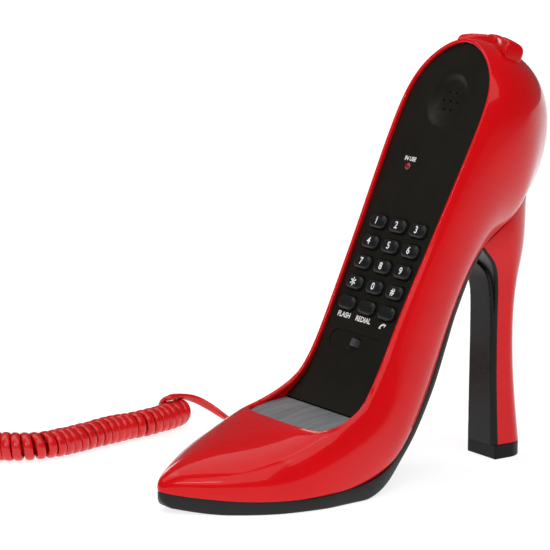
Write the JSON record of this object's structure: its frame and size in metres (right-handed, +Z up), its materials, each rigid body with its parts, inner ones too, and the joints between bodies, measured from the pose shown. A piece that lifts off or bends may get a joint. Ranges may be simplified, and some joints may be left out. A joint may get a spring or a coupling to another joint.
{
  "type": "novelty shaped telephone",
  "caption": "One-piece telephone shaped like a red high-heeled court shoe, with a bow, a push-button keypad and an earpiece in its opening, standing beside its curly line cord.",
  "frame": {"origin": "on the ground under the middle of the shoe's footprint, cord left out", "axes": "+Z up, +Y from the toe to the heel, +X across the shoe, away from the side where the line cord plugs in"},
  "size_m": [0.2753, 0.2659, 0.2145],
  "materials": {
    "red_gloss": "glossy, with broad soft reflections",
    "black_sole": "satin",
    "black_gloss": "glossy",
    "tip_rubber": "satin",
    "black_satin": "satin",
    "grey_satin": "satin with soft streaks",
    "key_grey": "satin, with white printed figures",
    "silicone": "matt",
    "board_green": "satin",
    "component_black": "matt",
    "can_aluminium": "satin",
    "lamp_lens": "glossy",
    "zinc_steel": "zinc plated",
    "knob_grey": "matt",
    "plate_steel": "brushed",
    "ballast_iron": "rough",
    "plug_clear": "clear and glossy",
    "cord_red": "satin, bright red"
  },
  "bodies": {
    "shoe": {"upper_shell": "red_gloss", "heel_cover": "red_gloss", "bow_loop_left": "red_gloss", "bow_loop_right": "red_gloss", "bow_knot": "red_gloss", "outsole": "black_sole", "heel_breast": "black_gloss", "heel_tip": "tip_rubber", "faceplate": "black_satin", "footbed_panel": "grey_satin", "keypad_mat": "silicone", "main_board": "board_green", "dial_chip": "component_black", "capacitors": "can_aluminium", "ringer_disc": "component_black", "receiver_speaker": "component_black", "speaker_gasket": "silicone", "microphone": "can_aluminium", "microphone_boot": "silicone", "in_use_led": "lamp_lens", "board_screws": "zinc_steel", "sole_screws": "zinc_steel", "heel_screws": "zinc_steel", "tip_screw": "zinc_steel", "slide_switch_body": "component_black", "heel_seat_plate": "plate_steel", "toe_ballast": "ballast_iron", "line_jack": "component_black", "modular_plug": "plug_clear", "end_plug": "plug_clear", "cord_lead": "cord_red", "cord_curls": "cord_red", "cord_end_lead": "cord_red"},
    "key_1": {"key_1": "key_grey"},
    "key_2": {"key_2": "key_grey"},
    "key_3": {"key_3": "key_grey"},
    "key_4": {"key_4": "key_grey"},
    "key_5": {"key_5": "key_grey"},
    "key_6": {"key_6": "key_grey"},
    "key_7": {"key_7": "key_grey"},
    "key_8": {"key_8": "key_grey"},
    "key_9": {"key_9": "key_grey"},
    "key_star": {"key_star": "key_grey"},
    "key_0": {"key_0": "key_grey"},
    "key_hash": {"key_hash": "key_grey"},
    "key_flash": {"key_flash": "key_grey"},
    "key_redial": {"key_redial": "key_grey"},
    "key_talk": {"key_talk": "key_grey"},
    "switch": {"switch_knob": "knob_grey"}
  },
  "joints": [
    {"name": "key_1_press", "type": "slide", "parent": "shoe", "child": "key_1", "axis": [0, 0.9011, -0.4337], "range_m": [0, 0.0012], "stiffness_N_per_m": 600, "springref_m": -0.0006},
    {"name": "key_2_press", "type": "slide", "parent": "shoe", "child": "key_2", "axis": [0, 0.9011, -0.4337], "range_m": [0, 0.0012], "stiffness_N_per_m": 600, "springref_m": -0.0006},
    {"name": "key_3_press", "type": "slide", "parent": "shoe", "child": "key_3", "axis": [0, 0.9011, -0.4337], "range_m": [0, 0.0012], "stiffness_N_per_m": 600, "springref_m": -0.0006},
    {"name": "key_4_press", "type": "slide", "parent": "shoe", "child": "key_4", "axis": [0, 0.9011, -0.4337], "range_m": [0, 0.0012], "stiffness_N_per_m": 600, "springref_m": -0.0006},
    {"name": "key_5_press", "type": "slide", "parent": "shoe", "child": "key_5", "axis": [0, 0.9011, -0.4337], "range_m": [0, 0.0012], "stiffness_N_per_m": 600, "springref_m": -0.0006},
    {"name": "key_6_press", "type": "slide", "parent": "shoe", "child": "key_6", "axis": [0, 0.9011, -0.4337], "range_m": [0, 0.0012], "stiffness_N_per_m": 600, "springref_m": -0.0006},
    {"name": "key_7_press", "type": "slide", "parent": "shoe", "child": "key_7", "axis": [0, 0.9011, -0.4337], "range_m": [0, 0.0012], "stiffness_N_per_m": 600, "springref_m": -0.0006},
    {"name": "key_8_press", "type": "slide", "parent": "shoe", "child": "key_8", "axis": [0, 0.9011, -0.4337], "range_m": [0, 0.0012], "stiffness_N_per_m": 600, "springref_m": -0.0006},
    {"name": "key_9_press", "type": "slide", "parent": "shoe", "child": "key_9", "axis": [0, 0.9011, -0.4337], "range_m": [0, 0.0012], "stiffness_N_per_m": 600, "springref_m": -0.0006},
    {"name": "key_star_press", "type": "slide", "parent": "shoe", "child": "key_star", "axis": [0, 0.9011, -0.4337], "range_m": [0, 0.0012], "stiffness_N_per_m": 600, "springref_m": -0.0006},
    {"name": "key_0_press", "type": "slide", "parent": "shoe", "child": "key_0", "axis": [0, 0.9011, -0.4337], "range_m": [0, 0.0012], "stiffness_N_per_m": 600, "springref_m": -0.0006},
    {"name": "key_hash_press", "type": "slide", "parent": "shoe", "child": "key_hash", "axis": [0, 0.9011, -0.4337], "range_m": [0, 0.0012], "stiffness_N_per_m": 600, "springref_m": -0.0006},
    {"name": "key_flash_press", "type": "slide", "parent": "shoe", "child": "key_flash", "axis": [0, 0.9011, -0.4337], "range_m": [0, 0.0012], "stiffness_N_per_m": 600, "springref_m": -0.0006},
    {"name": "key_redial_press", "type": "slide", "parent": "shoe", "child": "key_redial", "axis": [0, 0.9011, -0.4337], "range_m": [0, 0.0012], "stiffness_N_per_m": 600, "springref_m": -0.0006},
    {"name": "key_talk_press", "type": "slide", "parent": "shoe", "child": "key_talk", "axis": [0, 0.9011, -0.4337], "range_m": [0, 0.0012], "stiffness_N_per_m": 600, "springref_m": -0.0006},
    {"name": "switch_slide", "type": "slide", "parent": "shoe", "child": "switch", "axis": [1, 0, 0], "range_m": [-0.0018, 0.0018]}
  ]
}
